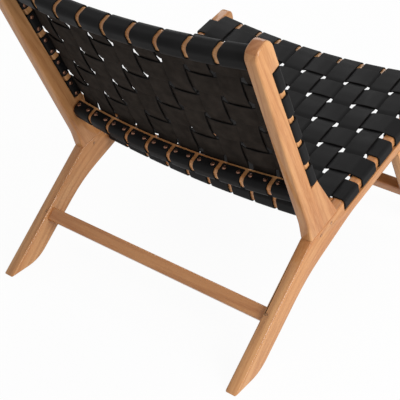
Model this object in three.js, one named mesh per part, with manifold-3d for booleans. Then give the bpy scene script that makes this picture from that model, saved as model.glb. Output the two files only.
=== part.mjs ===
// An armless lounge chair: a plank frame whose seat and back are woven from leather straps.
// Millimetres, +Z up, the sitter faces -Y, and X = 0 is the plane of symmetry.
// The origin is on the floor, under the middle of the chair.
import * as THREE from "three";
import { mergeVertices } from "three/addons/utils/BufferGeometryUtils.js";
import Module from "manifold-3d";

const wasm = await Module();
wasm.setup();

const deg = THREE.MathUtils.degToRad;

// Straps: long ones run along a panel, cross ones from side to side
const STRAP_THICK = 3;
const STRAP_WIDTH = 50;
const STRAP_GAP = 8.5; // between neighbouring long straps
const STRAPS_ACROSS = 10;
const STRAP_TUCK = 6; // from a bar's or rail's face to the end of the strap on its inner side
const SEAT_CROSS = { count: 6, width: 54, gap: 13.6 };
const BACK_CROSS = { count: 5, width: 50, gap: 13.8 };

// Fits
const CLEAR = 0.3; // between touching pieces
const SIDE_CLEAR = 3.75; // from the outermost long strap to the side plank
const SLOT_END_CLEAR = 2; // from a slot's end to the outermost cross strap

// Side planks and the slotted bars that the cross straps wrap
const PLANK = 26;
const EDGE = 2.5; // softened edges
const BAR_DEPTH = 22.5;
const SLOT_WIDTH = 4.5;
const BAR_ROUND = 6; // outer edge that the straps bend over
const BAR_SLOT_ROUND = 4; // the two edges along the slot
const BAR_INNER_ROUND = 2;

// Seat: its frame starts at the front edge of the weave, y runs rearwards along the slope, z out of the seat
const SEAT_SLOPE = deg(15);
const SEAT_HEIGHT = 342.7;
const SEAT_DISH = 22; // how far the rails' middle sinks below the sides
const SEAT_WEAVE = { sink: 22, power: 2 }; // how far the woven middle sinks, and how flat its bottom is
const RAIL_DEPTH = 50; // of the leg rail
const NOSE_REACH = 30; // leg rail ahead of the front cross rail
const NOSE_TOP_ROUND = 15;
const NOSE_UNDER_ROUND = 30;

// Rear leg
const HEEL_OUT = 245; // heel behind the knee, where the leg rail's top turns down
const LEG_TOP_WIDTH = 54;
const LEG_FOOT_WIDTH = 50;
const CROTCH_LEAD = 139; // how far ahead of the knee the leg rail starts to deepen
const CROTCH_FALL = deg(8);
const CROTCH_LEAD_ROUND = 250;
const CROTCH_ROUND = 330;
const TOE_ROUND = 80;

// Back: its frame starts at the lower edge of the weave, y runs upwards along the recline, z forwards
const BACK_RECLINE = deg(24);
const BACK_FROM_KNEE = { y: -18.3, z: 137.9 };
const BACK_DISH = 25;
const BACK_WEAVE = { sink: 30, power: 4 };
const STILE_HEAD = 17.2; // stile above the top rail
const STILE_DEPTH = 52; // behind the bar's face, at the top
const STILE_TOP_ROUND = 16;
const STILE_BEND_ROUND = 120;
const STILE_TOE_GAP = 25; // from the seat's weave to the stile's toe
const STILE_FOOT = 95; // length of the joint on the leg rail
const STILE_REAR_BEND = { y: 9.3, z: 38 }; // from the knee to the bend in the rear edge

// Front leg
const FRONT_LEAN = deg(28.1);
const FRONT_JOINT = 182.6; // rear edge of the joint under the leg rail, from the seat's start
const FRONT_TOP_WIDTH = 53;
const FRONT_FOOT_WIDTH = 48;
const FRONT_TOE_ROUND = 22;
const FRONT_FOOT_ROUND = 4;

// Cross rails: gap is from the weave to the rail's near face, width runs along the panel, set is how deep
// the rail lies under the bars' face, rise how far its middle bends towards the weave, end is the end
// of the panel it lies at, and turns counts the rail edges that a strap bends round
const RAIL_ROUND = 11;
const RAIL_NEAR_ROUND = 3;
const SEAT_FRONT_RAIL = { end: -1, gap: 1, width: 25.5, set: 0, depth: 32, rise: 4, turns: 2 };
const SEAT_REAR_RAIL = { end: 1, gap: 8, width: 35.5, set: 0, depth: 36, rise: 0, turns: 2 };
const BACK_LOWER_RAIL = { end: -1, gap: 14.5, width: 29, set: 15, depth: 29.5, rise: 9, turns: 3 };
const BACK_TOP_RAIL = { end: 1, gap: 14.8, width: 31, set: 14.5, depth: 30, rise: 0, turns: 3 };

// Stretchers: start is along the leg from the floor, inset is from the leg's rear edge
const REAR_STRETCHER = { start: 147.8, high: 29.2, inset: 7.5, deep: 34 };
const FRONT_STRETCHER = { start: 79.7, high: 32.5, inset: 7.5, deep: 26 };
const STRETCHER_ROUND = 4;

// Tenons and pins
const TENON_THICK = 10;
const STUB_TENON = { length: 14, shoulder: 7 }; // on the ends of cross rails and stretchers
const STILE_TENON = { length: 30, frontShoulder: 17, rearShoulder: 25 };
const STILE_PIN = { span: 37, down: 13 };
const FRONT_TENON = { length: 17, shoulder: 8 };
const FRONT_PIN_SPAN = 18;
const PIN_RADIUS = 3;
const STRETCHER_PIN = { radius: 2.5, length: 28, into: 7 };
const PIN_SIDES = 8;

const CHORD = 0.25; // how far an arc may lie from its chords
const MERGE = 1e-4; // points nearer than this are one
const PAST = 10; // how far a cutting block or a joined one runs past the face it meets

const WOOD = { color: 0xc8996a, roughness: 0.55, metalness: 0 };
const PIN_WOOD = { color: 0xa0703f, roughness: 0.6, metalness: 0 };
const LEATHER = { color: 0x242122, roughness: 0.5, metalness: 0 };

// Sizes that follow from those above
const pitch = STRAP_WIDTH + STRAP_GAP;
const strapReach = (STRAPS_ACROSS * pitch - STRAP_GAP) / 2;
const inner = strapReach + SIDE_CLEAR; // a side plank's inner face
const outer = inner + PLANK;
const recess = STRAP_THICK + CLEAR; // bars are set back so that wrapped straps lie flush
const barOuter = outer - recess;
const lie = CLEAR + STRAP_THICK / 2; // middle of a strap above the wood it lies on
const overlay = CLEAR + STRAP_THICK; // and of a strap above the one it crosses
const seatLength = SEAT_CROSS.count * (SEAT_CROSS.width + SEAT_CROSS.gap) - SEAT_CROSS.gap;
const backLength = BACK_CROSS.count * (BACK_CROSS.width + BACK_CROSS.gap) - BACK_CROSS.gap;
const nose = -SEAT_FRONT_RAIL.gap - SEAT_FRONT_RAIL.width - NOSE_REACH;
const toe = seatLength + STILE_TOE_GAP;
const kneeReach = toe + STILE_FOOT;
const stileTop = backLength + BACK_TOP_RAIL.gap + BACK_TOP_RAIL.width + STILE_HEAD;

// Frames of the woven panels and of the legs: each is turned about X

function tilted(angle, [y, z]) {
  const group = new THREE.Group();
  group.rotation.x = angle;
  group.position.set(0, y, z);
  group.updateMatrix();
  return group;
}

// A point of a frame in the side plane, as [y, z] of the chair.
function side(frame, y, z) {
  const point = new THREE.Vector3(0, y, z).applyMatrix4(frame.matrix);
  return [point.y, point.z];
}

const level = tilted(0, [0, 0]);
const seat = tilted(-SEAT_SLOPE, [0, SEAT_HEIGHT]);
const knee = side(seat, kneeReach, 0);
const back = tilted(Math.PI / 2 - BACK_RECLINE, [knee[0] + BACK_FROM_KNEE.y, knee[1] + BACK_FROM_KNEE.z]);
const heel = [knee[0] + HEEL_OUT, 0];
const rearLegLength = Math.hypot(HEEL_OUT, knee[1]);
const rearLeg = tilted(Math.atan2(knee[1], -HEEL_OUT), heel);
const frontJoint = side(seat, FRONT_JOINT, -RAIL_DEPTH);
const frontLegLength = frontJoint[1] / Math.cos(FRONT_LEAN);
const frontFoot = [frontJoint[0] - frontJoint[1] * Math.tan(FRONT_LEAN), 0];
const frontLeg = tilted(Math.PI / 2 - FRONT_LEAN, frontFoot);

// Outlines and paths: corners are [across, up, radius], and a corner with a radius becomes an arc

function roundCorner(before, [x, y, radius = 0], after) {
  const at = new THREE.Vector2(x, y);
  if (!radius) return [at];
  const a = new THREE.Vector2(before[0], before[1]).sub(at).normalize();
  const b = new THREE.Vector2(after[0], after[1]).sub(at).normalize();
  const half = Math.acos(THREE.MathUtils.clamp(a.dot(b), -1, 1)) / 2;
  const inwards = a.clone().add(b).normalize();
  const centre = at.clone().addScaledVector(inwards, radius / Math.sin(half));
  const start = at.clone().addScaledVector(a, radius / Math.tan(half));
  const turn = -Math.sign(a.cross(b)) * (Math.PI - 2 * half);
  const steps = Math.ceil(Math.abs(turn) / (2 * Math.acos(1 - CHORD / radius)));
  return Array.from({ length: steps + 1 }, (_, k) => start.clone().rotateAround(centre, (turn * k) / steps));
}

function closedOutline(corners) {
  const count = corners.length;
  return corners.flatMap((corner, i) =>
    roundCorner(corners[(i + count - 1) % count], corner, corners[(i + 1) % count]),
  );
}

// The outline of a bar's section, counter-clockwise so that the faces of a bar point outwards.
function barSection(corners) {
  const points = closedOutline(corners);
  return THREE.ShapeUtils.isClockWise(points) ? points.reverse() : points;
}

function openPath(corners) {
  return corners.flatMap((corner, i) =>
    roundCorner(corners[i - 1] ?? corner, corner, corners[i + 1] ?? corner),
  );
}

// Where the line through a and b meets the line through c and d.
function crossing([a, b], [c, d]) {
  const u = [b[0] - a[0], b[1] - a[1]];
  const v = [d[0] - c[0], d[1] - c[1]];
  const t = ((c[0] - a[0]) * v[1] - (c[1] - a[1]) * v[0]) / (u[0] * v[1] - u[1] * v[0]);
  return [a[0] + t * u[0], a[1] + t * u[1]];
}

const floorLine = [[0, 0], [1, 0]];
const seatLine = (z) => [side(seat, 0, z), side(seat, seatLength, z)];

// Solids: pieces are joined and cut as manifolds

function toSolid(geometry) {
  const bare = new THREE.BufferGeometry();
  const loose = geometry.index ? geometry.toNonIndexed() : geometry;
  bare.setAttribute("position", loose.getAttribute("position").clone());
  const merged = mergeVertices(bare, MERGE);
  const mesh = new wasm.Mesh({
    numProp: 3,
    vertProperties: new Float32Array(merged.attributes.position.array),
    triVerts: new Uint32Array(merged.index.array),
  });
  return new wasm.Manifold(mesh);
}

function toGeometry(solid) {
  const mesh = solid.getMesh();
  const geometry = new THREE.BufferGeometry();
  geometry.setAttribute("position", new THREE.BufferAttribute(mesh.vertProperties, 3));
  geometry.setIndex(new THREE.BufferAttribute(mesh.triVerts, 1));
  geometry.computeVertexNormals();
  return geometry;
}

// The same piece on the other side of the plane of symmetry, with its faces turned back outwards.
function mirrored(geometry) {
  const twin = geometry.clone().scale(-1, 1, 1);
  const index = twin.index.array;
  for (let i = 0; i < index.length; i += 3) {
    [index[i], index[i + 1]] = [index[i + 1], index[i]];
  }
  twin.computeVertexNormals();
  return twin;
}

// A surface through rings of as many points each, closed at both ends by the cap's triangles.
function loft(rings, cap) {
  const sides = rings[0].length;
  const last = (rings.length - 1) * sides;
  const index = [];
  for (let r = 0; r < last; r += sides) {
    for (let i = 0; i < sides; i++) {
      const j = (i + 1) % sides;
      index.push(r + i, r + j, r + sides + j, r + i, r + sides + j, r + sides + i);
    }
  }
  cap.forEach(([a, b, c]) => index.push(c, b, a, last + a, last + b, last + c));
  const geometry = new THREE.BufferGeometry().setFromPoints(rings.flat());
  geometry.setIndex(new THREE.BufferAttribute(new Uint32Array(index), 1));
  geometry.computeVertexNormals();
  return geometry;
}

// A box between two corners given in a frame.
function block(frame, low, high) {
  const size = high.map((h, i) => h - low[i]);
  const middle = high.map((h, i) => (h + low[i]) / 2);
  const geometry = new THREE.BoxGeometry(...size).translate(...middle);
  return toSolid(geometry.applyMatrix4(frame.matrix));
}

// The same box grown by the clearance, to cut the mortise that a tenon sits in.
function mortise(frame, [low, high]) {
  const wider = low.map((v) => v - CLEAR);
  return block(frame, wider, high.map((v) => v + CLEAR));
}

// Side planks, on the sitter's left: an outline in the side plane, extruded from inner to outer face

function plank(corners) {
  const shape = new THREE.Shape(closedOutline(corners));
  const geometry = new THREE.ExtrudeGeometry(shape, {
    depth: PLANK - 2 * EDGE,
    bevelThickness: EDGE,
    bevelSize: EDGE,
    bevelOffset: -EDGE,
    bevelSegments: 1,
  });
  const sideways = new THREE.Matrix4().set(0, 0, 1, inner + EDGE, 1, 0, 0, 0, 0, 1, 0, 0, 0, 0, 0, 1);
  return toSolid(geometry.applyMatrix4(sideways));
}

// What is cut away round a bar: the slot, the set-back outer face and the rounded edges.
function strapWindow(frame, from, to) {
  const low = -BAR_DEPTH - SLOT_WIDTH;
  const shape = new THREE.Shape(
    closedOutline([[inner - PAST, low], [outer + PAST, low], [outer + PAST, PAST], [inner - PAST, PAST]]),
  );
  const bar = closedOutline([
    [inner, 0, BAR_INNER_ROUND],
    [inner, -BAR_DEPTH, BAR_SLOT_ROUND],
    [barOuter, -BAR_DEPTH, BAR_SLOT_ROUND],
    [barOuter, 0, BAR_ROUND],
  ]);
  shape.holes.push(new THREE.Path(bar));
  const geometry = new THREE.ExtrudeGeometry(shape, { depth: to - from, bevelEnabled: false });
  geometry.rotateX(Math.PI / 2).translate(0, to, 0);
  return toSolid(geometry.applyMatrix4(frame.matrix));
}

// Tenons as [low, high] corners, in the frame of what they go into or come from

const tenonLow = (inner + outer - TENON_THICK) / 2;
const tenonHigh = tenonLow + TENON_THICK;
const frontJointWidth = FRONT_TOP_WIDTH / Math.cos(FRONT_LEAN - SEAT_SLOPE);

const stileTenon = [
  [tenonLow, toe + STILE_TENON.frontShoulder, -STILE_TENON.length],
  [tenonHigh, kneeReach - STILE_TENON.rearShoulder, PAST],
];
const frontTenon = [
  [tenonLow, FRONT_JOINT - frontJointWidth + FRONT_TENON.shoulder, -RAIL_DEPTH - PAST],
  [tenonHigh, FRONT_JOINT - FRONT_TENON.shoulder, -RAIL_DEPTH + FRONT_TENON.length],
];

// Faces of a cross rail: near and far along its panel, front and rear across it.
function railFaces(rail, length) {
  const near = rail.end > 0 ? length + rail.gap : -rail.gap;
  return { near, far: near + rail.end * rail.width, front: -rail.set, rear: -rail.set - rail.depth };
}

function stubTenon(y, z) {
  const { length, shoulder } = STUB_TENON;
  return [
    [inner - PAST, Math.min(...y) + shoulder, Math.min(...z) + shoulder],
    [inner + length, Math.max(...y) - shoulder, Math.max(...z) - shoulder],
  ];
}

function railTenon(rail, length) {
  const { near, far, front, rear } = railFaces(rail, length);
  return stubTenon([near, far], [rear, front]);
}

function stretcherTenon({ start, high, inset, deep }) {
  return stubTenon([start, start + high], [inset, inset + deep]);
}

// Pins along X through the side planks, at [y, z] of the seat's frame

const stilePinMiddle = (stileTenon[0][1] + stileTenon[1][1]) / 2;
const frontPinMiddle = (frontTenon[0][1] + frontTenon[1][1]) / 2;
const frontPinHeight = -RAIL_DEPTH + FRONT_TENON.length / 2;
const crossPins = {
  stile_pin_front: [stilePinMiddle - STILE_PIN.span / 2, -STILE_PIN.down],
  stile_pin_rear: [stilePinMiddle + STILE_PIN.span / 2, -STILE_PIN.down],
  front_leg_pin_front: [frontPinMiddle - FRONT_PIN_SPAN / 2, frontPinHeight],
  front_leg_pin_rear: [frontPinMiddle + FRONT_PIN_SPAN / 2, frontPinHeight],
};

function crossPin([y, z], grow) {
  const radius = PIN_RADIUS + grow;
  const geometry = new THREE.CylinderGeometry(radius, radius, PLANK + 2 * grow, PIN_SIDES);
  geometry.rotateZ(Math.PI / 2).translate((inner + outer) / 2, y, z);
  return geometry.applyMatrix4(seat.matrix);
}

function withPinHoles(solid) {
  return Object.values(crossPins).reduce((left, at) => left.subtract(toSolid(crossPin(at, CLEAR))), solid);
}

// A stretcher's pin, driven into its tenon from the leg's rear edge.
function stretcherPin({ start, high }, grow) {
  const { radius, length, into } = STRETCHER_PIN;
  const geometry = new THREE.CylinderGeometry(radius + grow, radius + grow, length + 2 * grow, PIN_SIDES);
  return geometry.rotateX(Math.PI / 2).translate(inner + into, start + high / 2, length / 2);
}

function pinHole(frame, stretcher) {
  return toSolid(stretcherPin(stretcher, CLEAR).applyMatrix4(frame.matrix));
}

// The seat's side rail and the rear leg, cut from one plank.
function legRail() {
  const legFront = [side(rearLeg, rearLegLength, LEG_TOP_WIDTH), side(rearLeg, 0, LEG_FOOT_WIDTH)];
  const deepened = -RAIL_DEPTH - CROTCH_LEAD * Math.tan(CROTCH_FALL);
  const falling = [side(seat, kneeReach - CROTCH_LEAD, -RAIL_DEPTH), side(seat, kneeReach, deepened)];
  const body = plank([
    [...side(seat, nose, 0), NOSE_TOP_ROUND],
    [...side(seat, nose, -RAIL_DEPTH), NOSE_UNDER_ROUND],
    [...falling[0], CROTCH_LEAD_ROUND],
    [...crossing(falling, legFront), CROTCH_ROUND],
    [...crossing(legFront, floorLine), TOE_ROUND],
    heel,
    knee,
  ]);
  const slotted = body
    .subtract(strapWindow(seat, -SLOT_END_CLEAR, seatLength + SLOT_END_CLEAR))
    .subtract(mortise(seat, stileTenon))
    .subtract(mortise(seat, frontTenon))
    .subtract(mortise(seat, railTenon(SEAT_FRONT_RAIL, seatLength)))
    .subtract(mortise(seat, railTenon(SEAT_REAR_RAIL, seatLength)))
    .subtract(mortise(rearLeg, stretcherTenon(REAR_STRETCHER)))
    .subtract(pinHole(rearLeg, REAR_STRETCHER));
  return toGeometry(withPinHoles(slotted));
}

// The upright plank of the back, standing on the leg rail with a pinned tenon.
function backStile() {
  const front = [side(back, -SLOT_END_CLEAR, recess), side(seat, toe, 0)];
  const rear = [[knee[0] + STILE_REAR_BEND.y, knee[1] + STILE_REAR_BEND.z], knee];
  const body = plank([
    [...side(back, stileTop, recess), STILE_TOP_ROUND],
    [...front[0], STILE_BEND_ROUND],
    crossing(front, seatLine(-PAST)),
    crossing(rear, seatLine(-PAST)),
    [...rear[0], STILE_BEND_ROUND],
    [...side(back, stileTop, -STILE_DEPTH), STILE_TOP_ROUND],
  ]);
  const below = block(seat, [inner - PAST, 0, -RAIL_DEPTH], [outer + PAST, kneeReach + PAST, CLEAR]);
  const slotted = body
    .subtract(below)
    .add(block(seat, ...stileTenon))
    .subtract(strapWindow(back, -SLOT_END_CLEAR, backLength + SLOT_END_CLEAR))
    .subtract(mortise(back, railTenon(BACK_LOWER_RAIL, backLength)))
    .subtract(mortise(back, railTenon(BACK_TOP_RAIL, backLength)));
  return toGeometry(withPinHoles(slotted));
}

// The plank under the leg rail, splayed forwards, with a pinned stub tenon.
function frontLegPlank() {
  const front = [side(frontLeg, frontLegLength, FRONT_TOP_WIDTH), side(frontLeg, 0, FRONT_FOOT_WIDTH)];
  const top = seatLine(-RAIL_DEPTH + PAST);
  const body = plank([
    [...frontFoot, FRONT_TOE_ROUND],
    crossing([frontFoot, frontJoint], top),
    crossing(front, top),
    [...crossing(front, floorLine), FRONT_FOOT_ROUND],
  ]);
  const above = block(seat, [inner - PAST, 0, -RAIL_DEPTH - CLEAR], [outer + PAST, seatLength, 0]);
  const cut = body
    .subtract(above)
    .add(block(seat, ...frontTenon))
    .subtract(mortise(frontLeg, stretcherTenon(FRONT_STRETCHER)))
    .subtract(pinHole(frontLeg, FRONT_STRETCHER));
  return toGeometry(withPinHoles(cut));
}

// A dished panel sinks across its width as a power curve, straight from one gap between straps to the next.
// Rails sink as a parabola.
const gapMiddles = Array.from({ length: STRAPS_ACROSS - 1 }, (_, k) => (k + 1 - STRAPS_ACROSS / 2) * pitch);
const knots = [-strapReach, ...gapMiddles, strapReach];

function dish(depth, x, power = 2) {
  const place = THREE.MathUtils.clamp(x, -strapReach, strapReach);
  const k = Math.max(1, knots.findIndex((knot) => place <= knot));
  const [from, to] = [knots[k - 1], knots[k]];
  const sunk = (knot) => -depth * (1 - Math.abs(knot / strapReach) ** power);
  return THREE.MathUtils.mapLinear(place, from, to, sunk(from), sunk(to));
}

// How far a cross rail is bent along its panel.
const bend = (rail, x) => rail.end * dish(rail.rise, x);

// Both stub tenons of a cross piece.
function bothTenons(corners) {
  const tenon = toGeometry(block(level, ...corners));
  return toSolid(tenon).add(toSolid(mirrored(tenon)));
}

// A curved cross rail: its section is carried across the chair along the dish.
function crossRail(rail, length, depth) {
  const { near, far, front, rear } = railFaces(rail, length);
  const section = barSection([
    [near, front, RAIL_NEAR_ROUND],
    [near, rear, RAIL_ROUND],
    [far, rear, RAIL_ROUND],
    [far, front, RAIL_ROUND],
  ]);
  const end = inner - CLEAR;
  const rings = [-end, ...knots, end].map((x) =>
    section.map((p) => new THREE.Vector3(x, p.x + bend(rail, x), p.y + dish(depth, x))),
  );
  const bar = toSolid(loft(rings, THREE.ShapeUtils.triangulateShape(section, [])));
  return toGeometry(bar.add(bothTenons(railTenon(rail, length))));
}

// A straight stretcher between two legs.
function stretcher(bar) {
  const { start, high, inset, deep } = bar;
  const section = barSection([
    [start, inset, STRETCHER_ROUND],
    [start + high, inset, STRETCHER_ROUND],
    [start + high, inset + deep, STRETCHER_ROUND],
    [start, inset + deep, STRETCHER_ROUND],
  ]);
  const end = inner - CLEAR;
  const rings = [-end, end].map((x) => section.map((p) => new THREE.Vector3(x, p.x, p.y)));
  const body = toSolid(loft(rings, THREE.ShapeUtils.triangulateShape(section, [])));
  const hole = toGeometry(toSolid(stretcherPin(bar, CLEAR)));
  const joined = body.add(bothTenons(stretcherTenon(bar)));
  return toGeometry(joined.subtract(toSolid(hole)).subtract(toSolid(mirrored(hole))));
}

// Straps: a flat ribbon about a path in the plane of its length and thickness.
// place gives a point of that plane on the ribbon's edge 0 or 1.
function ribbon(path, place) {
  const ends = [0, path.length - 1];
  const rings = path.map((point, i) => {
    const before = point.clone().sub(path[Math.max(i - 1, 0)]).normalize();
    const after = path[Math.min(i + 1, ends[1])].clone().sub(point).normalize();
    const along = before.clone().add(after).normalize();
    const mitre = ends.includes(i) ? 1 : Math.sqrt((1 + before.dot(after)) / 2);
    const offset = new THREE.Vector2(-along.y, along.x).multiplyScalar(STRAP_THICK / 2 / mitre);
    const above = point.clone().add(offset);
    const under = point.clone().sub(offset);
    return [place(above, 0), place(above, 1), place(under, 1), place(under, 0)];
  });
  return loft(rings, [[0, 1, 2], [0, 2, 3]]);
}

// In a plain weave the long strap lies over every second cross strap.
const longIsOver = (long, cross) => (long + cross) % 2 === 1;
const weaveHeight = (over) => (over ? lie + overlay : lie);

// The first corner of a wrap: a straight run from a point touches the upper side of a round edge
// and meets the line of the face beyond it. The run goes up the first axis when end is 1, down it when -1.
function firstCorner(from, centre, radius, end, face) {
  const [across, up] = [centre[0] - from[0], centre[1] - from[1]];
  const angle = Math.atan2(up, across) + end * Math.asin(radius / Math.hypot(across, up));
  return [face, from[1] + (face - from[0]) * Math.tan(angle), radius];
}

// Corners of a path round a rail, from the last crossing outwards.
function roundRail(rail, length, from) {
  const { near, far, front, rear } = railFaces(rail, length);
  const radius = RAIL_ROUND + lie;
  const centre = [far - rail.end * RAIL_ROUND, front - RAIL_ROUND];
  const [outside, under, inside] = [far + rail.end * lie, rear - lie, near - rail.end * lie];
  const corners = [firstCorner(from, centre, radius, rail.end, outside), [outside, under, radius]];
  if (rail.turns < 3) return [...corners, [near + rail.end * STRAP_TUCK, under]];
  return [...corners, [inside, under, radius], [inside, front - STRAP_TUCK]];
}

// A long strap's path is drawn level with the rails, so its weave is lowered by what it sinks below them.
function longStrap(column, cross, length, depth, weave, rails) {
  const left = (column - STRAPS_ACROSS / 2) * pitch + STRAP_GAP / 2;
  const middle = left + STRAP_WIDTH / 2;
  const lowered = dish(weave.sink, middle, weave.power) - dish(depth, middle);
  const woven = Array.from({ length: cross.count }, (_, row) => {
    const start = row * (cross.width + cross.gap);
    const height = weaveHeight(longIsOver(column, row)) + lowered;
    return [[start, height], [start + cross.width, height]];
  }).flat();
  const path = openPath([
    ...roundRail(rails[0], length, woven[0]).reverse(),
    ...woven,
    ...roundRail(rails[1], length, woven.at(-1)),
  ]);
  return ribbon(path, (point, edge) => {
    const x = left + edge * STRAP_WIDTH;
    const rail = rails.find(({ end, gap }) => (end < 0 ? -point.x : point.x - length) > gap / 2);
    const sunk = rail ? dish(depth, x) : dish(weave.sink, x, weave.power) - lowered;
    return new THREE.Vector3(x, point.x + (rail ? bend(rail, x) : 0), point.y + sunk);
  });
}

// Corners of a path round the bar on the sitter's left, from the last crossing outwards.
function roundBar(height) {
  const slotMiddle = -BAR_DEPTH - lie;
  const centre = [barOuter - BAR_ROUND, -BAR_ROUND];
  return [
    firstCorner([strapReach, height], centre, BAR_ROUND + lie, 1, barOuter + lie),
    [barOuter + lie, slotMiddle, BAR_SLOT_ROUND + lie],
    [inner - lie, slotMiddle, BAR_SLOT_ROUND + lie],
    [inner - lie, -STRAP_TUCK],
  ];
}

function crossStrap(row, cross, weave) {
  const start = row * (cross.width + cross.gap);
  const columns = Array.from({ length: STRAPS_ACROSS }, (_, column) => column);
  const heights = columns.map((column) => weaveHeight(!longIsOver(column, row)));
  const woven = heights.flatMap((height, column) => {
    const left = (column - STRAPS_ACROSS / 2) * pitch + STRAP_GAP / 2;
    return [left, left + STRAP_WIDTH].map((x) => [x, height + dish(weave.sink, x, weave.power)]);
  });
  const leftEnd = roundBar(heights.at(-1));
  const rightEnd = roundBar(heights[0]).map(([x, ...rest]) => [-x, ...rest]).reverse();
  const path = openPath([...rightEnd, ...woven, ...leftEnd]);
  return ribbon(path, (point, edge) => new THREE.Vector3(point.x, start + (1 - edge) * cross.width, point.y));
}

// Assembly

const chair = new THREE.Group();
chair.add(seat, back, rearLeg, frontLeg);

function add(parent, name, geometry, finish) {
  const mesh = new THREE.Mesh(geometry, new THREE.MeshStandardMaterial(finish));
  mesh.name = name;
  parent.add(mesh);
  return mesh;
}

function addPair(parent, name, geometry, finish) {
  add(parent, "left_" + name, geometry, finish);
  add(parent, "right_" + name, mirrored(geometry), finish);
}

const leftLegRail = legRail();
addPair(chair, "leg_rail", leftLegRail, WOOD);
addPair(chair, "back_stile", backStile(), WOOD);
addPair(chair, "front_leg", frontLegPlank(), WOOD);
for (const [name, at] of Object.entries(crossPins)) {
  addPair(chair, name, toGeometry(toSolid(crossPin(at, 0))), PIN_WOOD);
}

add(seat, "seat_front_rail", crossRail(SEAT_FRONT_RAIL, seatLength, SEAT_DISH), WOOD);
add(seat, "seat_rear_rail", crossRail(SEAT_REAR_RAIL, seatLength, SEAT_DISH), WOOD);
add(back, "back_lower_rail", crossRail(BACK_LOWER_RAIL, backLength, BACK_DISH), WOOD);
add(back, "back_top_rail", crossRail(BACK_TOP_RAIL, backLength, BACK_DISH), WOOD);

add(rearLeg, "rear_stretcher", stretcher(REAR_STRETCHER), WOOD);
add(frontLeg, "front_stretcher", stretcher(FRONT_STRETCHER), WOOD);
addPair(rearLeg, "rear_stretcher_pin", toGeometry(toSolid(stretcherPin(REAR_STRETCHER, 0))), PIN_WOOD);
addPair(frontLeg, "front_stretcher_pin", toGeometry(toSolid(stretcherPin(FRONT_STRETCHER, 0))), PIN_WOOD);

const panels = [
  { name: "seat", group: seat, cross: SEAT_CROSS, length: seatLength, depth: SEAT_DISH, weave: SEAT_WEAVE },
  { name: "back", group: back, cross: BACK_CROSS, length: backLength, depth: BACK_DISH, weave: BACK_WEAVE },
];
const panelRails = {
  seat: [SEAT_FRONT_RAIL, SEAT_REAR_RAIL],
  back: [BACK_LOWER_RAIL, BACK_TOP_RAIL],
};

// Long straps count from the sitter's right, cross straps from the front of the seat or the foot of the back.
for (const { name, group, cross, length, depth, weave } of panels) {
  for (let column = 0; column < STRAPS_ACROSS; column++) {
    const geometry = longStrap(column, cross, length, depth, weave, panelRails[name]);
    add(group, `${name}_long_strap_${column + 1}`, geometry, LEATHER);
  }
  for (let row = 0; row < cross.count; row++) {
    add(group, `${name}_cross_strap_${row + 1}`, crossStrap(row, cross, weave), LEATHER);
  }
}

// The chair's length runs from the leg rail's nose to its heel, and its middle is the origin.
leftLegRail.computeBoundingBox();
chair.position.y = -(leftLegRail.boundingBox.min.y + leftLegRail.boundingBox.max.y) / 2;

export default chair;
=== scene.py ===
"""An armless lounge chair: a wooden plank frame whose seat and back are woven from black leather
straps. Sizes below are in millimetres, in the frames of the chair's own seat, back and legs; meshes
are in metres."""

import math
from functools import partial

import bmesh
import bpy
import numpy as np
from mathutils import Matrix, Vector


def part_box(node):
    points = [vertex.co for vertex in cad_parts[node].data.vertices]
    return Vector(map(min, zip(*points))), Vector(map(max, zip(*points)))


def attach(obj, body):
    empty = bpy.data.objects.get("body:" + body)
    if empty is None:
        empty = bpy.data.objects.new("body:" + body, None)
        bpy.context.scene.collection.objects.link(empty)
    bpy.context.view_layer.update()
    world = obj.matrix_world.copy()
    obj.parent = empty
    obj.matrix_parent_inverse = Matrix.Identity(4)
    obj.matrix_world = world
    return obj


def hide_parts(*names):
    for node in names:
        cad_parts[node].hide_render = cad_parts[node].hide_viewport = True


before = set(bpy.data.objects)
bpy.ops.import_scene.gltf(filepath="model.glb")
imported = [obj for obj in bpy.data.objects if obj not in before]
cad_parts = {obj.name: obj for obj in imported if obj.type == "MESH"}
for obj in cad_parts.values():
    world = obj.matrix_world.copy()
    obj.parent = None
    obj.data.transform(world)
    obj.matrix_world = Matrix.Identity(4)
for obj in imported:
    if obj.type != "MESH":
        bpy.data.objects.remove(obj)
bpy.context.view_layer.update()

MM = 0.001

# Straps
THICK = 3.0
WIDTH = 50.0  # of a long strap
GAP = 8.5  # between long straps
ACROSS = 10  # long straps side by side
CLEAR = 0.3  # between a strap and what it lies on
TUCK = 6.0  # from a rail's edge to the end of a strap
BOW = 1.1
TRIM = 0.8  # off a strap's width, where its edges are rubbed
LONG_TURN = 40.0  # radius of a long strap's turns in the weave
CROSS_TURN = 18.0  # and of a cross strap's
REACH = (ACROSS * (WIDTH + GAP) - GAP) / 2  # half the width of the weave
LIE = CLEAR + THICK / 2  # a strap's middle over what it lies on
OVERLAY = CLEAR + THICK  # a strap's step up onto another

# A strap's section: points across a face, as shares of half its flat width, and the edges' turn
FACE_SHARES = np.array([-1, -0.94, -0.6, -0.2, 0.2, 0.6, 0.94, 1])
EDGE_ROUND = 1.15
EDGE_TURN = np.radians([60, 30, 0])

# Rivets: a head's profile, and where heads sit on a strap
RIVET_RADII = np.array([4.7, 4.7, 3.7, 1.6])
RIVET_HEIGHTS = np.array([-0.4, 0.5, 1.6, 2.3])
RIVET_SIDES = 12
RIVET_FROM_END = 9.5
RIVET_FROM_EDGE = 8.7

# Side planks and their bars
PLANK_THICK = 26.0
SIDE_GAP = 3.75  # from the outermost long strap to a plank
INNER = REACH + SIDE_GAP
BAR_OUTER = INNER + PLANK_THICK - THICK - CLEAR
BAR_DEPTH = 22.5
BAR_WRAP = 5.0
BAR_PROUD = 1.0
BAR_TUCK = 1.2
SLOT_ROUND = 4.0
RUBBED_WIDTH = 1.3
RUBBED_ANGLE = math.radians(30)

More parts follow.
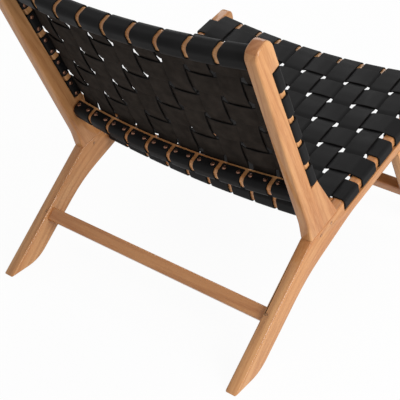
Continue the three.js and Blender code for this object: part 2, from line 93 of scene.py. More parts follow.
# Cross rails: end is -1 at a panel's start and 1 past its length, gap the room to the weave, set how
# far the front lies behind it, rise the bend along the panel, turns the corners a strap goes round
RAIL_ROUND = 9.0
RAIL_NEAR_ROUND = 1.0
WRAP_DEPTH = 5.0  # behind a rail's front, where a strap is on its way round
SEAT_RAILS = {
    "seat_front_rail": dict(end=-1, gap=1.0, width=25.5, set=0.0, depth=32.0, rise=4.0, turns=2),
    "seat_rear_rail": dict(end=1, gap=0.2, width=43.3, set=0.0, depth=36.0, rise=0.0, turns=2),
}
BACK_RAILS = {
    "back_lower_rail": dict(end=-1, gap=14.5, width=29.0, set=15.0, depth=29.5, rise=9.0, turns=3),
    "back_top_rail": dict(end=1, gap=14.8, width=31.0, set=14.5, depth=30.0, rise=0.0, turns=3),
}
# The seat's rear rail and the back's lower rail get a lighter copy of the rail wood: painted light,
# where the strips between their straps fall in shade.
PAINTED_LIGHT_RAILS = ("seat_rear_rail", "back_lower_rail")

# Frames: each is turned about X by its angle and stands at y, z of the chair
SLOPE = math.radians(-15)
RECLINE = math.radians(66)
FRONT_LEAN = math.radians(28.1)
SEAT_HEIGHT = 342.7
KNEE_REACH = 512.0
HEEL_OUT = 245.0
BACK_AHEAD, BACK_HIGH = 18.3, 137.9  # of the knee
JOINT_ALONG, JOINT_UNDER = 182.6, 50.0  # a front leg's joint, in the seat's frame
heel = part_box("left_leg_rail")[1].y / MM
knee = (heel - HEEL_OUT, SEAT_HEIGHT + KNEE_REACH * math.sin(SLOPE))
SEAT = (SLOPE, knee[0] - KNEE_REACH * math.cos(SLOPE), SEAT_HEIGHT)
BACK = (RECLINE, knee[0] - BACK_AHEAD, knee[1] + BACK_HIGH)
UP_THE_BACK = (0, math.cos(RECLINE), math.sin(RECLINE))
OUT_OF_THE_BACK = (0, -math.sin(RECLINE), math.cos(RECLINE))
REAR_LEG = (math.atan2(knee[1], -HEEL_OUT), heel, 0.0)
front_joint = (
    SEAT[1] + JOINT_ALONG * math.cos(SLOPE) + JOINT_UNDER * math.sin(SLOPE),
    SEAT[2] + JOINT_ALONG * math.sin(SLOPE) - JOINT_UNDER * math.cos(SLOPE),
)
front_foot = front_joint[0] - front_joint[1] * math.tan(FRONT_LEAN)
FRONT_LEG = (math.pi / 2 - FRONT_LEAN, front_foot, 0.0)

STRETCHER_ROUND = 4.0
STRETCHERS = {
    "rear_stretcher": dict(tilt=REAR_LEG, start=147.8, high=29.2, inset=7.5, deep=34.0),
    "front_stretcher": dict(tilt=FRONT_LEG, start=79.7, high=32.5, inset=7.5, deep=26.0),
}

# Woven panels: count, width and gap are those of the cross straps, and set_back moves the first one;
# dish is the rails' depth; sag, rise and ramp shape the weave; bar_set moves the bars
PANELS = {
    "seat": dict(
        tilt=SEAT, rails=SEAT_RAILS, bars="leg_rail", bar_set=0.0,
        count=6, width=54.0, gap=13.6, set_back=3.5,
        dish=22.0, sag=22.0, rise=22.0, ramp=1.0,
    ),
    "back": dict(
        tilt=BACK, rails=BACK_RAILS, bars="back_stile", bar_set=-7.0,
        count=5, width=50.0, gap=13.8, set_back=0.0,
        dish=25.0, sag=26.0, rise=20.2, ramp=0.28,
    ),
}
for panel in PANELS.values():
    panel["length"] = panel["count"] * (panel["width"] + panel["gap"]) - panel["gap"]

# A back stile: where its bar starts to be drawn in, and its head, above the straps
DRAWN_FROM, DRAWN_RUN = -90.0, 86.0
HEAD_FOOT = PANELS["back"]["length"] + 2
HEAD_DEPTH = 52.0
HEAD_DOME = 6.0
HEAD_LOSS = 0.05  # share of its height
HEAD_CUTS = -HEAD_DEPTH * np.linspace(0.34, 0.66, 5)
END_FACING = 0.75  # cosine between an end face and the stile

# How fine the surfaces are, and how soft their turns
ARC_STEP = math.radians(9)
STRAIGHT = 1e-4
LINE_STEP = 1.2
RING_STEP = 2.4
RAIL_RINGS = 61
STRETCHER_RINGS = 9
SHARP_ANGLE = math.radians(50)
FLAT_ANGLE = math.radians(0.5)
WELD = 0.00002
CUT_WELD = 1e-6
EASE = 0.6
RAMP_EASE = 9.0
KNEE_EASE = 0.09


# Lines and surfaces


def placed(tilt, x, y, z):
    """Points of a tilted frame in metres of the chair: y and z are turned by its angle, then moved to
    its place."""
    angle, y0, z0 = tilt
    c, s = math.cos(angle), math.sin(angle)
    x, y, z = np.broadcast_arrays(x, y, z)
    return np.stack([x, y0 + y * c - z * s, z0 + y * s + z * c], axis=-1) * MM


def turned_corner(before, corner, after):
    """A corner's points: itself, or the arc of its radius that touches both legs."""
    at, radius = np.array(corner[:2], float), corner[2] if len(corner) > 2 else 0
    if not radius:
        return at[None]
    a, b = (np.array(p[:2], float) - at for p in (before, after))
    a, b = a / np.linalg.norm(a), b / np.linalg.norm(b)
    half = math.acos(np.clip(a @ b, -1, 1)) / 2
    if math.pi / 2 - half < STRAIGHT:
        return at[None]
    centre = at + (a + b) / np.linalg.norm(a + b) * radius / math.sin(half)
    turn = -np.sign(a[0] * b[1] - a[1] * b[0]) * (math.pi - 2 * half)
    arm = at + a * radius / math.tan(half) - centre
    t = np.linspace(0, turn, 2 + int(abs(turn) / ARC_STEP))
    c, s = np.cos(t), np.sin(t)
    return centre + np.stack([arm[0] * c - arm[1] * s, arm[0] * s + arm[1] * c], 1)


def rounded(corners, closed=False):
    """A line through corners (across, up, radius), open or closed."""
    before, after = (corners[-1], corners[0]) if closed else (corners[0], corners[-1])
    ring = [before, *corners, after]
    return np.concatenate([turned_corner(*ring[k : k + 3]) for k in range(len(corners))])


def evenly(line, step):
    """Points at equal steps along a line, and how far along it each is."""
    run = np.concatenate([[0], np.cumsum(np.linalg.norm(np.diff(line, axis=0), axis=1))])
    at = np.linspace(0, run[-1], int(run[-1] / step) + 2)
    return np.stack([np.interp(at, run, c) for c in line.T], 1), at


def square_to(line):
    """Unit normals of a line, on its left."""
    along = np.gradient(line, axis=0)
    along /= np.linalg.norm(along, axis=1, keepdims=True)
    return np.stack([-along[:, 1], along[:, 0]], 1)


def eased(depth):
    """Heights under 0 by a depth, with a soft turn to 0 where the depth runs out."""
    return -0.5 * (depth + np.sqrt(depth * depth + EASE))


def sunk(depth, x):
    """A dished rail's height: a parabola across the chair, -depth in the middle and 0 at the sides."""
    return eased(depth * (1 - (x / REACH) ** 2))


def sagged(panel, x):
    """A woven panel's height: its depth is the lesser of a shallow parabola across the chair and a
    straight ramp in from each side plank's bar, with a soft turn between them."""
    bowl = panel["sag"] - panel["rise"] * (x / REACH) ** 2
    side = panel["ramp"] * (INNER - np.abs(x))
    return panel["bar_set"] + eased(0.5 * (bowl + side - np.sqrt((bowl - side) ** 2 + RAMP_EASE)))


def walls(at):
    """Quads between neighbouring rings, from the indices of the rings' points."""
    nxt = np.roll(at, -1, axis=-1)
    quads = [at[..., :-1, :], nxt[..., :-1, :], nxt[..., 1:, :], at[..., 1:, :]]
    return np.stack(quads, -1).reshape(-1, 4).tolist()


def smooth_mesh(name, points, faces, finishes):
    """A smooth mesh with its finishes."""
    mesh = bpy.data.meshes.new(name)
    mesh.from_pydata(points.reshape(-1, 3), [], faces)
    for material in finishes:
        mesh.materials.append(material)
    mesh.shade_smooth()
    return mesh


def tube_mesh(name, rings, finishes, finish_of_column=None):
    """A closed surface through rings of points: rows run along the piece, columns round its section,
    and the first and last ring are capped, with the last finish."""
    rows, columns = rings.shape[:2]
    at = np.arange(rows * columns).reshape(rows, columns)
    mesh = smooth_mesh(name, rings, [*walls(at), at[0, ::-1].tolist(), at[-1].tolist()], finishes)
    if finish_of_column is not None:
        caps = [len(finishes) - 1] * 2
        index = np.concatenate([np.tile(finish_of_column, rows - 1), caps]).astype(np.int32)
        mesh.polygons.foreach_set("material_index", index)
    mesh.set_sharp_from_angle(angle=SHARP_ANGLE)
    return mesh


def piece(mesh, slot, *stands_for):
    """A mesh as a piece of the chair: it rides the one body, and stands for the CAD nodes named."""
    made = bpy.data.objects.new(mesh.name, mesh)
    bpy.context.scene.collection.objects.link(made)
    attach(made, "root")
    if stands_for:
        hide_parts(*stands_for)
    return made


# Finishes


def finish(name, **values):
    """A material with a Principled shader, and the values that are the same all over it."""
    material = bpy.data.materials.new(name)
    material.use_nodes = True
    shader = material.node_tree.nodes["Principled BSDF"]
    for socket, value in values.items():
        shader.inputs[socket.replace("_", " ").title().replace("Ior", "IOR")].default_value = value
    return material, material.node_tree, shader


def put(tree, kind, sockets=None, **settings):
    """A node with its settings; a socket takes a value, or a link from another node's output."""
    node = tree.nodes.new("ShaderNode" + kind)
    for key, value in settings.items():
        setattr(node, key, value)
    for key, value in (sockets or {}).items():
        if isinstance(value, bpy.types.NodeSocket):
            tree.links.new(value, node.inputs[key])
        else:
            node.inputs[key].default_value = value
    return node


def maths(tree, operation, *values):
    """The result of an operation on values."""
    return put(tree, "Math", dict(enumerate(values)), operation=operation).outputs[0]


def noise(tree, where, scale, detail, roughness=0.5):
    """Clouded noise, from 0 to 1."""
    sockets = {"Vector": where, "Scale": scale, "Detail": detail, "Roughness": roughness}
    return put(tree, "TexNoise", sockets).outputs[0]


def spread(tree, value, low, high, to_low=0.0, to_high=1.0):
    """A value from low to high carried to another range, clamped."""
    sockets = {0: value, 1: low, 2: high, 3: to_low, 4: to_high}
    return put(tree, "MapRange", sockets).outputs[0]


def colour_between(tree, share, first, second):
    """A colour between two, by a share from 0 to 1."""
    ends = {6: first, 7: second}
    sockets = {0: share, **{k: (*v, 1) if isinstance(v, tuple) else v for k, v in ends.items()}}
    return put(tree, "Mix", sockets, data_type="RGBA").outputs[2]


def raised(tree, shader, height, depth):
    """A bump on the shader, its depth given in metres."""
    bump = put(tree, "Bump", {"Height": height, "Distance": depth, "Strength": 1.0})
    tree.links.new(bump.outputs[0], shader.inputs["Normal"])


def on_object(tree):
    """Object coordinates, in metres."""
    return put(tree, "TexCoord").outputs["Object"]


def along_frame(tree, tilt):
    """Object coordinates in a tilted frame, in metres."""
    angle, y, z = tilt
    sockets = {"Vector": on_object(tree), "Location": (0, y * MM, z * MM), "Rotation": (angle, 0, 0)}
    return put(tree, "Mapping", sockets, vector_type="TEXTURE").outputs[0]


def bent_grain(tree):
    """Coordinates of a bent plank: the depth under its outer edge is that of the nearer of rail and
    leg, with a soft turn at the knee, and the grain runs along both."""
    leg_turn = math.atan2(-knee[1], HEEL_OUT)
    rail, leg = (
        put(tree, "SeparateXYZ", {0: along_frame(tree, (turn, *knee))}).outputs
        for turn in (SLOPE, leg_turn)
    )
    depth = maths(tree, "SMOOTH_MAX", rail[2], leg[2], KNEE_EASE)
    run = maths(tree, "ADD", rail[1], leg[1])
    return put(tree, "CombineXYZ", {0: rail[0], 1: run, 2: depth}).outputs[0]


def wood(name, grain, stretch, tone=(1, 1, 1)):
    """Oiled hardwood: growth rings as distorted bands, fine fibres, short dark pores and a slow drift
    from honey to red brown, all drawn out along the grain by the stretch. The tone is the piece's
    own, except on two rails, where a lighter tone is painted light for strips that lie in shade."""

    def toned(*colour):
        return tuple(share * part for share, part in zip(tone, colour))

    material, tree, shader = finish(
        name, specular_ior_level=0.0, coat_weight=0.55, coat_roughness=0.12
    )
    drawn = put(tree, "VectorMath", {0: grain(tree), 1: stretch}, operation="MULTIPLY").outputs[0]
    drift = noise(tree, drawn, 26.0, 2.0)
    bands = {"Vector": drawn, "Scale": 34.0, "Distortion": 7.0, "Detail": 3.0, "Detail Scale": 1.4}
    rings = put(tree, "TexWave", bands, wave_type="BANDS", bands_direction="DIAGONAL").outputs[1]
    fibre = noise(tree, drawn, 620.0, 4.0, roughness=0.65)
    pores = noise(tree, drawn, 1500.0, 1.0)
    honey = spread(tree, drift, 0.33, 0.68)
    colour = colour_between(tree, honey, toned(0.415, 0.162, 0.055), toned(0.578, 0.305, 0.130))
    layers = (
        (spread(tree, rings, 0.35, 1.0, 0.0, 0.5), toned(0.345, 0.135, 0.047)),
        (spread(tree, fibre, 0.42, 0.75, 0.0, 0.42), toned(0.650, 0.362, 0.165)),
        (spread(tree, pores, 0.67, 0.76, 0.0, 0.45), toned(0.19, 0.085, 0.035)),
    )
    for share, layer in layers:
        colour = colour_between(tree, share, colour, layer)
    tree.links.new(colour, shader.inputs["Base Color"])
    tree.links.new(spread(tree, fibre, 0.3, 0.7, 0.40, 0.56), shader.inputs["Roughness"])
    raised(tree, shader, fibre, 0.00012)
    return material


def leather_grain():
    """Smooth black leather: small closed pebbles under a soft sheen, a slow drift in gloss."""
    material, tree, shader = finish("strap_grain_side", ior=1.16)
    where = on_object(tree)
    cells = {"Vector": where, "Scale": 950.0}
    pebbles = put(tree, "TexVoronoi", cells, feature="SMOOTH_F1").outputs[0]
    creases = noise(tree, where, 260.0, 3.0)
    drift = noise(tree, where, 16.0, 2.0)
    share = spread(tree, drift, 0.35, 0.7)
    dyed = colour_between(tree, share, (0.0068, 0.0066, 0.0068), (0.0112, 0.0108, 0.0110))
    tree.links.new(dyed, shader.inputs["Base Color"])
    tree.links.new(spread(tree, drift, 0.3, 0.7, 0.48, 0.62), shader.inputs["Roughness"])
    raised(tree, shader, maths(tree, "ADD", pebbles, creases), 0.00007)
    return material


def leather_flesh():
    """The straps' inner side: matt brown black with a short nap."""
    material, tree, shader = finish("strap_flesh_side", roughness=0.92, ior=1.12)
    where = on_object(tree)
    nap = noise(tree, where, 900.0, 4.0, roughness=0.7)
    cloud = spread(tree, noise(tree, where, 45.0, 3.0), 0.3, 0.7)
    dyed = colour_between(tree, cloud, (0.0215, 0.0176, 0.0150), (0.0385, 0.0314, 0.0266))
    fuzz = spread(tree, nap, 0.5, 0.8, 0.0, 0.4)
    fuzzy = colour_between(tree, fuzz, dyed, (0.050, 0.040, 0.034))
    tree.links.new(fuzzy, shader.inputs["Base Color"])
    raised(tree, shader, nap, 0.00018)
    return material


def leather_edge():
    """The straps' cut edge, dyed and rubbed smooth."""
    material, tree, shader = finish("strap_edge", roughness=0.6, ior=1.15)
    rubbed = noise(tree, on_object(tree), 300.0, 3.0)
    share = spread(tree, rubbed, 0.3, 0.75)
    dyed = colour_between(tree, share, (0.0045, 0.0042, 0.004), (0.010, 0.0086, 0.0078))
    tree.links.new(dyed, shader.inputs["Base Color"])
    raised(tree, shader, rubbed, 0.0001)
    return material


def rivet_copper():
    """Aged copper: brown in the hollows and brighter where it is rubbed."""
    material, tree, shader = finish("rivet_copper", metallic=0.75)
    worn = noise(tree, on_object(tree), 420.0, 3.0)
    share = spread(tree, worn, 0.35, 0.7)
    tone = colour_between(tree, share, (0.105, 0.048, 0.030), (0.31, 0.150, 0.095))
    tree.links.new(tone, shader.inputs["Base Color"])
    tree.links.new(spread(tree, worn, 0.3, 0.7, 0.45, 0.26), shader.inputs["Roughness"])
    return material


def pin_end():
    """End grain of the pins, darker than the planks."""
    material, tree, shader = finish("pin_end_grain", roughness=0.6)
    share = spread(tree, noise(tree, on_object(tree), 900.0, 2.0), 0.3, 0.7)
    tone = colour_between(tree, share, (0.24, 0.115, 0.050), (0.40, 0.200, 0.095))
    tree.links.new(tone, shader.inputs["Base Color"])
    return material


ACROSS_CHAIR = (0.05, 1, 1)
ALONG_PLANK = (1, 0.05, 1)
ROUND_KNEE = (1, 0.035, 1)
END_ON = (1, 1, 1)
on_back = partial(along_frame, tilt=BACK)
on_front_leg = partial(along_frame, tilt=FRONT_LEG)
RAIL_WOOD = wood("wood_across", on_object, ACROSS_CHAIR)
# About 1.3 times lighter than the rail wood: painted light for the strips that lie in shade between
# the straps of the seat's rear rail and the back's lower rail.
PAINTED_LIGHT_RAIL_WOOD = wood("wood_rail_painted_light", on_object, ACROSS_CHAIR, tone=(1.32, 1.3, 1.28))
BENT_WOOD = wood("wood_leg_rail", bent_grain, ROUND_KNEE)
STILE_WOOD = wood("wood_back_stile", on_back, ALONG_PLANK)
HEAD_WOOD = wood("wood_stile_end", on_back, END_ON, tone=(0.86, 0.75, 0.69))
FRONT_WOOD = wood("wood_front_leg", on_front_leg, ALONG_PLANK, tone=(1.15, 1.19, 1.22))
STRETCHER_WOOD = wood("wood_stretcher", on_object, ACROSS_CHAIR, tone=(0.99, 0.89, 0.84))
STRAP_FINISHES = [leather_grain(), leather_flesh(), leather_edge()]
GRAIN, FLESH, EDGE = range(3)  # places in this list
RIVET = rivet_copper()
PIN = pin_end()


# Planks, cross rails and stretchers


def strips_of_head(work):
    """Cuts the end of a back stile's head into strips from front to rear, so that it can be domed."""
    up, ahead = Vector(UP_THE_BACK), Vector(OUT_OF_THE_BACK)
    foot = Vector(placed(BACK, 0, HEAD_FOOT, 0))
    cut = partial(bmesh.ops.bisect_plane, work, dist=CUT_WELD)
    cut(geom=[*work.verts, *work.edges, *work.faces], plane_co=foot, plane_no=up)
    for depth in HEAD_CUTS:
        faces = [face for face in work.faces if (face.calc_center_median() - foot) @ up > 0]
        parts = {part for face in faces for part in (*face.verts, *face.edges)}
        at = Vector(placed(BACK, 0, 0, depth))
        cut(geom=[*parts, *faces], plane_co=at, plane_no=ahead)


def thin_bar(mesh):
    """A back stile's bar and head made thinner: what is ahead of the slot is drawn in towards it,
    evenly from the slot to the front edge, from a soft start below the straps; the head is a little
    shorter and its end is domed from front to rear."""
    points = np.empty(3 * len(mesh.vertices))
    mesh.vertices.foreach_get("co", points)
    x, y, z = points.reshape(-1, 3).T / MM
    angle, y0, z0 = BACK
    along = (y - y0) * math.cos(angle) + (z - z0) * math.sin(angle)
    ahead = (z - z0) * math.cos(angle) - (y - y0) * math.sin(angle)
    start = np.clip((along - DRAWN_FROM) / DRAWN_RUN, 0, 1)
    drawn = PANELS["back"]["bar_set"] * start * start * (3 - 2 * start)
    over = np.maximum(along - HEAD_FOOT, 0)
    from_middle = (ahead + HEAD_DEPTH / 2) / (HEAD_DEPTH / 2)
    dome = HEAD_DOME * np.clip(1 - from_middle**2, 0, 1) * (over / over.max()) ** 2
    along = along - HEAD_LOSS * over + dome
    ahead = ahead + drawn * np.clip(1 + ahead / BAR_DEPTH, 0, 2)
    mesh.vertices.foreach_set("co", placed(BACK, x, along, ahead).ravel())


def end_grain(mesh):
    """The end grain's finish, on the faces of a back stile's head that look along the stile."""
    mesh.materials.append(HEAD_WOOD)
    normals = np.empty(3 * len(mesh.polygons))
    mesh.polygons.foreach_get("normal", normals)
    at_end = normals.reshape(-1, 3) @ np.array(UP_THE_BACK) > END_FACING
    mesh.polygons.foreach_set("material_index", at_end.astype(np.int32))


def soft_plank(name, wood_finish, has_head=False):
    """A side plank with rubbed edges: the solid's own faces, joined where they are flat, and a Bevel
    along every edge that turns by more than an angle."""
    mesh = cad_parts[name].data.copy()
    mesh.name = name + "_wood"
    work = bmesh.new()
    work.from_mesh(mesh)
    bmesh.ops.remove_doubles(work, verts=work.verts, dist=WELD)
    bmesh.ops.dissolve_limit(work, angle_limit=FLAT_ANGLE, verts=work.verts, edges=work.edges)
    if has_head:
        strips_of_head(work)
    work.to_mesh(mesh)
    work.free()
    mesh.materials.clear()
    mesh.materials.append(wood_finish)
    if has_head:
        thin_bar(mesh)
        end_grain(mesh)
    mesh.shade_smooth()
    bevel = piece(mesh, "frame_wood", name).modifiers.new("rubbed_edges", "BEVEL")
    bevel.width, bevel.segments = RUBBED_WIDTH * MM, 3
    bevel.limit_method, bevel.angle_limit = "ANGLE", RUBBED_ANGLE
    bevel.use_clamp_overlap = False
    bevel.harden_normals = True


def between_planks(count):
    """Places across the chair from one side plank to the other, one per ring of a bar."""
    return np.linspace(-INNER + CLEAR, INNER - CLEAR, count)[:, None]


def bent(rail, x):
    """How far a rail's middle is bent along its panel, in proportion to the dish."""
    return rail["end"] * sunk(rail["rise"], x) if rail["rise"] else 0 * x


def rail_faces(rail, length):
    """A rail's near and far face along its panel, and its front and rear across it."""
    near = length + rail["gap"] if rail["end"] > 0 else -rail["gap"]
    return near, near + rail["end"] * rail["width"], -rail["set"], -rail["set"] - rail["depth"]


def cross_rail(name, rail, panel, wood_finish):
    """A rail: its rounded section is carried across the chair and sinks with the dish."""
    near, far, front, rear = rail_faces(rail, panel["length"])
    corners = [
        (near, front, RAIL_NEAR_ROUND),
        (near, rear, RAIL_ROUND),
        (far, rear, RAIL_ROUND),
        (far, front, RAIL_ROUND),
    ]
    section = rounded(corners, closed=True)
    section = section if rail["end"] < 0 else section[::-1]
    x = between_planks(RAIL_RINGS)
    y = section[:, 0] + bent(rail, x)
    z = section[:, 1] + sunk(panel["dish"], x)
    rings = placed(panel["tilt"], x, y, z)
    piece(tube_mesh(name + "_wood", rings, [wood_finish]), "frame_wood", name)


def stretcher(name, tilt, start, high, inset, deep):
    """A straight bar between two legs, with a rounded section."""
    low, top = start, start + high
    front, rear = inset + deep, inset
    corners = [(low, rear), (low, front), (top, front), (top, rear)]
    section = rounded([(*corner, STRETCHER_ROUND) for corner in corners], closed=True)
    rings = placed(tilt, between_planks(STRETCHER_RINGS), section[:, 0], section[:, 1])
    piece(tube_mesh(name + "_wood", rings, [STRETCHER_WOOD]), "frame_wood", name)


# Straps


def strap_section(width):
    """A strap's section: across and thickness of its points, and the finish of the face after each
    point. The two faces are flat, the edges rounded."""
    a, b, r = width / 2, THICK / 2, EDGE_ROUND
    flat = (a - r) * FACE_SHARES
    t = EDGE_TURN
    top_edge = np.stack([a - r + r * np.cos(t), b - r + r * np.sin(t)], 1)
    low_edge = np.stack([a - r + r * np.cos(t[::-1]), -b + r - r * np.sin(t[::-1])], 1)
    half = np.concatenate([np.stack([flat, np.full(len(flat), b)], 1), top_edge, low_edge])
    section = np.concatenate([half, -half])
    on_face, on_edge = len(flat) - 1, 2 * len(t) + 1
    finish_of = np.repeat([GRAIN, EDGE, FLESH, EDGE], [on_face, on_edge, on_face, on_edge])
    return section, finish_of


def first_corner(start, centre, radius, end, face):
    """A wrap's first corner: a straight run from a point touches a round edge from above and meets
    the line of the face beyond it."""
    across, up = centre[0] - start[0], centre[1] - start[1]
    angle = math.atan2(up, across) + end * math.asin(radius / math.hypot(across, up))
    return face, start[1] + (face - start[0]) * math.tan(angle), radius


def round_rail(rail, length, start):
    """Corners of a strap's line round a rail, from the last crossing outwards."""
    near, far, front, rear = rail_faces(rail, length)
    end, radius = rail["end"], RAIL_ROUND + LIE
    outside, under, inside = far + end * LIE, rear - LIE, near - end * LIE
    centre = (far - end * RAIL_ROUND, front - RAIL_ROUND)
    first = first_corner(start, centre, radius, end, outside)
    if rail["turns"] < 3:
        return [first, (outside, under, radius), (near + end * TUCK, under)]
    return [first, (outside, under, radius), (inside, under, radius), (inside, front - TUCK)]


def round_bar(height, bar_set):
    """Corners of a cross strap's line round the bar on the sitter's left, from the last crossing
    outwards, over the bar's top. The strap stands a little proud of the outer face and comes up the
    inner face."""
    slot, radius = -BAR_DEPTH - LIE - bar_set, SLOT_ROUND + LIE
    outside = BAR_OUTER + LIE + BAR_PROUD
    centre = (outside - BAR_WRAP, LIE - BAR_WRAP)
    first = first_corner((REACH, height), centre, BAR_WRAP, 1, outside)
    return [first, (outside, slot, radius), (INNER - LIE, slot, radius), (INNER - LIE, -BAR_TUCK)]


def woven_line(starts, width, over, turn):
    """Corners of a strap's line over and under the straps that it crosses."""
    heights = np.where(over, LIE + OVERLAY, LIE)
    return [(at, h, turn) for s, h in zip(starts, heights) for at in (s, s + width)]


def bowed(line, starts, width, over):
    """A strap bows away from each strap it crosses, most in the middle of the crossing."""
    at, up = line.T
    share = np.clip((at[:, None] - np.array(starts)) / width, 0, 1)
    return np.stack([at, up + np.sin(np.pi * share) ** 2 @ np.where(over, BOW, -BOW)], 1)


def rail_share(rail, length, y, z):
    """How much a point of a strap follows a rail: 0 in the weave, rising evenly to 1 where the strap
    meets the rail's far edge, and 1 from there to the strap's end."""
    past = -y if rail["end"] < 0 else y - length
    share = np.clip(past / (rail["gap"] + rail["width"] - RAIL_ROUND), 0, 1)
    return np.where((past > 0) & (z < -rail["set"] - WRAP_DEPTH), 1.0, share)


def rivet_heads(name, middles, axes):
    """Domed heads: each is a profile of height over radius, spun about its axis."""
    t = np.linspace(0, 2 * math.pi, RIVET_SIDES, endpoint=False)
    helper = np.where(np.abs(axes[:, :1]) < 0.8, [[1.0, 0, 0]], [[0, 1.0, 0]])
    u = np.cross(axes, helper)
    u /= np.linalg.norm(u, axis=1, keepdims=True)
    v = np.cross(axes, u)
    spoke = u[:, None] * np.cos(t)[:, None] + v[:, None] * np.sin(t)[:, None]
    points = (
        middles[:, None, None]
        + MM * RIVET_RADII[:, None, None] * spoke[:, None]
        + MM * RIVET_HEIGHTS[:, None, None] * axes[:, None, None]
    )
    heads, rings, sides = points.shape[:3]
    at = np.arange(heads * rings * sides).reshape(heads, rings, sides)
    caps = [*at[:, 0, ::-1].tolist(), *at[:, -1].tolist()]
    return piece(smooth_mesh(name, points, [*walls(at), *caps], [RIVET]), "rivet_metal")


def strap(name, line, width, place):
    """A strap: its section is carried along its line, and four rivets hold its two ends."""
    width = width - TRIM
    line, run = evenly(line, RING_STEP)
    up = square_to(line)
    section, finish_of = strap_section(width)
    across, lift = section.T
    at = line[:, None] + up[:, None] * lift[:, None]
    rings = place(across, at[..., 0], at[..., 1])
    mesh = tube_mesh(name + "_leather", rings, STRAP_FINISHES, finish_of)
    made = piece(mesh, "strap_leather", name)

    from_start = [RIVET_FROM_END, run[-1] - RIVET_FROM_END]
    spots = np.interp(from_start, run, np.arange(len(run))).round().astype(int)
    side = np.array([-1, 1]) * (width / 2 - RIVET_FROM_EDGE)

    def over_spots(height):
        at = line[spots][:, None] + up[spots][:, None] * height
        return place(side, at[..., 0], at[..., 1]).reshape(-1, 3)

    middles = over_spots(THICK / 2)
    axes = over_spots(THICK / 2 + 1) - middles
    axes /= np.linalg.norm(axes, axis=1, keepdims=True)
    heads = rivet_heads(name + "_rivets", middles, axes)


def long_strap(name, panel, left, rows, over):
    """A strap from rail to rail, over and under the cross straps: in the weave it sags as the panel
    does, and at each rail it takes on the rail's own dish and bend."""
    length, depth, middle = panel["length"], panel["dish"], left + WIDTH / 2
    low, high = panel["rails"].values()
    lowered = sagged(panel, middle) - sunk(depth, middle)
    crossings = woven_line(rows, panel["width"], over, LONG_TURN)
    corners = [(at, up + lowered, turn) for at, up, turn in crossings]
    start, stop = round_rail(low, length, corners[0]), round_rail(high, length, corners[-1])
    line = rounded([*start[::-1], *corners, *stop])
    line = bowed(evenly(line, LINE_STEP)[0], rows, panel["width"], over)

    def place(across, y, z):
        x = middle + across
        at_low, at_high = (rail_share(rail, length, y, z) for rail in (low, high))
        on_rail = at_low + at_high
        shift = at_low * bent(low, x) + at_high * bent(high, x)
        sag = (1 - on_rail) * (sagged(panel, x) - lowered) + on_rail * sunk(depth, x)
        return placed(panel["tilt"], x, y + shift, z + sag)

    strap(name, line, WIDTH, place)


def cross_strap(name, panel, start, columns, over):
    """A strap from side to side, over and under the long straps and round both bars."""
    middle = start + panel["width"] / 2
    corners = woven_line(columns, WIDTH, over, CROSS_TURN)
    left = round_bar(corners[-1][1], panel["bar_set"])
    right = [(-x, *rest) for x, *rest in round_bar(corners[0][1], panel["bar_set"])]
    line = rounded([*right[::-1], *corners, *left])
    line = bowed(evenly(line, LINE_STEP)[0], columns, WIDTH, over)
    line[:, 1] += sagged(panel, line[:, 0])

    def place(across, x, z):
        return placed(panel["tilt"], x, middle - across, z)

    strap(name, line, panel["width"], place)


def weave(name, panel):
    """All straps of a panel: a long strap lies over every second cross strap."""
    rows = np.arange(panel["count"]) * (panel["width"] + panel["gap"])
    rows[0] += panel["set_back"]
    columns = (np.arange(ACROSS) - ACROSS / 2) * (WIDTH + GAP) + GAP / 2
    long_over = (np.arange(ACROSS)[:, None] + np.arange(panel["count"])) % 2 == 1
    for column, left in enumerate(columns):
        long_strap(f"{name}_long_strap_{column + 1}", panel, left, rows, long_over[column])
    for row, start in enumerate(rows):
        cross_strap(f"{name}_cross_strap_{row + 1}", panel, start, columns, ~long_over[:, row])


# Making the chair

for panel in PANELS.values():
    for name, rail in panel["rails"].items():
        # Two rails take the lighter wood, which is painted light for their shaded strips.
        cross_rail(name, rail, panel, PAINTED_LIGHT_RAIL_WOOD if name in PAINTED_LIGHT_RAILS else RAIL_WOOD)
for name, sizes in STRETCHERS.items():
    stretcher(name, **sizes)
for name, panel in PANELS.items():
    weave(name, panel)

for side in ("left_", "right_"):
    soft_plank(side + "leg_rail", BENT_WOOD)
    soft_plank(side + "back_stile", STILE_WOOD, has_head=True)
    soft_plank(side + "front_leg", FRONT_WOOD)

# The pins are the solids' own meshes
for name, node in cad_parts.items():
    if "pin" in name:
        node.data.materials.clear()
        node.data.materials.append(PIN)


# Floor, light and camera

FLOOR_REACH = 30.0
FLOOR_GLOW = 0.95
SKY_LIGHT = 0.45


def seen(tree):
    """1 for what the camera sees, straight, in a reflection or through glass."""
    path = put(tree, "LightPath").outputs
    first = maths(tree, "MAXIMUM", path["Is Camera Ray"], path["Is Glossy Ray"])
    return maths(tree, "MAXIMUM", first, path["Is Transmission Ray"])


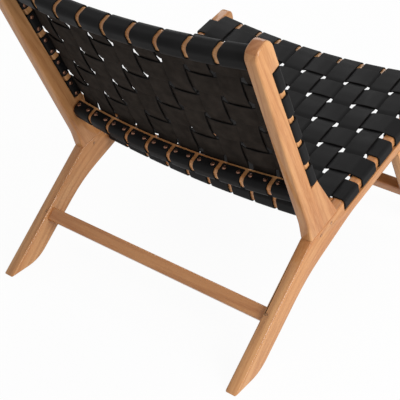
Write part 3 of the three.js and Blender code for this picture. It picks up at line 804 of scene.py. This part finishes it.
def floor():
    """A plain pale floor that shows white and keeps a faint shadow."""
    mesh = bpy.data.meshes.new("floor")
    r = FLOOR_REACH
    mesh.from_pydata([(-r, -r, 0), (r, -r, 0), (r, r, 0), (-r, r, 0)], [], [(0, 1, 2, 3)])
    material, tree, shader = finish("floor_white", roughness=0.9, base_color=(0.86, 0.86, 0.86, 1))
    glow = put(tree, "Emission", {"Color": (1, 1, 1, 1), "Strength": 1.0}).outputs[0]
    share = maths(tree, "MULTIPLY", seen(tree), FLOOR_GLOW)
    both = put(tree, "MixShader", {0: share, 1: shader.outputs[0], 2: glow}).outputs[0]
    tree.links.new(both, tree.nodes["Material Output"].inputs["Surface"])
    mesh.materials.append(material)
    made = bpy.data.objects.new("floor", mesh)
    bpy.context.scene.collection.objects.link(made)


def softbox(name, place, aim, size, power):
    """A square area lamp that faces a point."""
    lamp = bpy.data.lights.new(name, "AREA")
    lamp.energy, lamp.size = power, size
    made = bpy.data.objects.new(name, lamp)
    made.location = place
    made.rotation_euler = (Vector(aim) - Vector(place)).to_track_quat("-Z", "Y").to_euler()
    bpy.context.scene.collection.objects.link(made)


def sky():
    """An even white surround: white where it is seen, softer as light."""
    world = bpy.data.worlds.new("surround")
    world.use_nodes = True
    tree = world.node_tree
    back = tree.nodes["Background"]
    back.inputs["Color"].default_value = (1, 1, 1, 1)
    tree.links.new(spread(tree, seen(tree), 0.0, 1.0, SKY_LIGHT, 1.0), back.inputs["Strength"])
    bpy.context.scene.world = world


def camera(place, facing):
    """The photograph's viewpoint, with the middle of its picture moved as the photograph is framed."""
    lens = bpy.data.cameras.new("camera")
    lens.sensor_width, lens.lens = 36.0, 85.1
    lens.shift_x, lens.shift_y = -0.16261, -0.02429
    made = bpy.data.objects.new("camera", lens)
    made.location = place
    made.rotation_euler = Vector(facing).to_track_quat("-Z", "Y").to_euler()
    bpy.context.scene.collection.objects.link(made)
    bpy.context.scene.camera = made


floor()
softbox("key", place=(-2.65, 0.4, 1.3), aim=(0, 0, 0.35), size=1.6, power=66)
softbox("top", place=(0.2, 0.0, 3.0), aim=(0, 0, 0.35), size=2.2, power=5)
softbox("front", place=(1.3, -1.6, 1.9), aim=(0, 0, 0.3), size=1.2, power=14)
sky()
camera(place=(-1.10229, 1.39139, 1.27751), facing=(0.4915, -0.6798, -0.5443))
bpy.context.scene.view_settings.view_transform = "Standard"
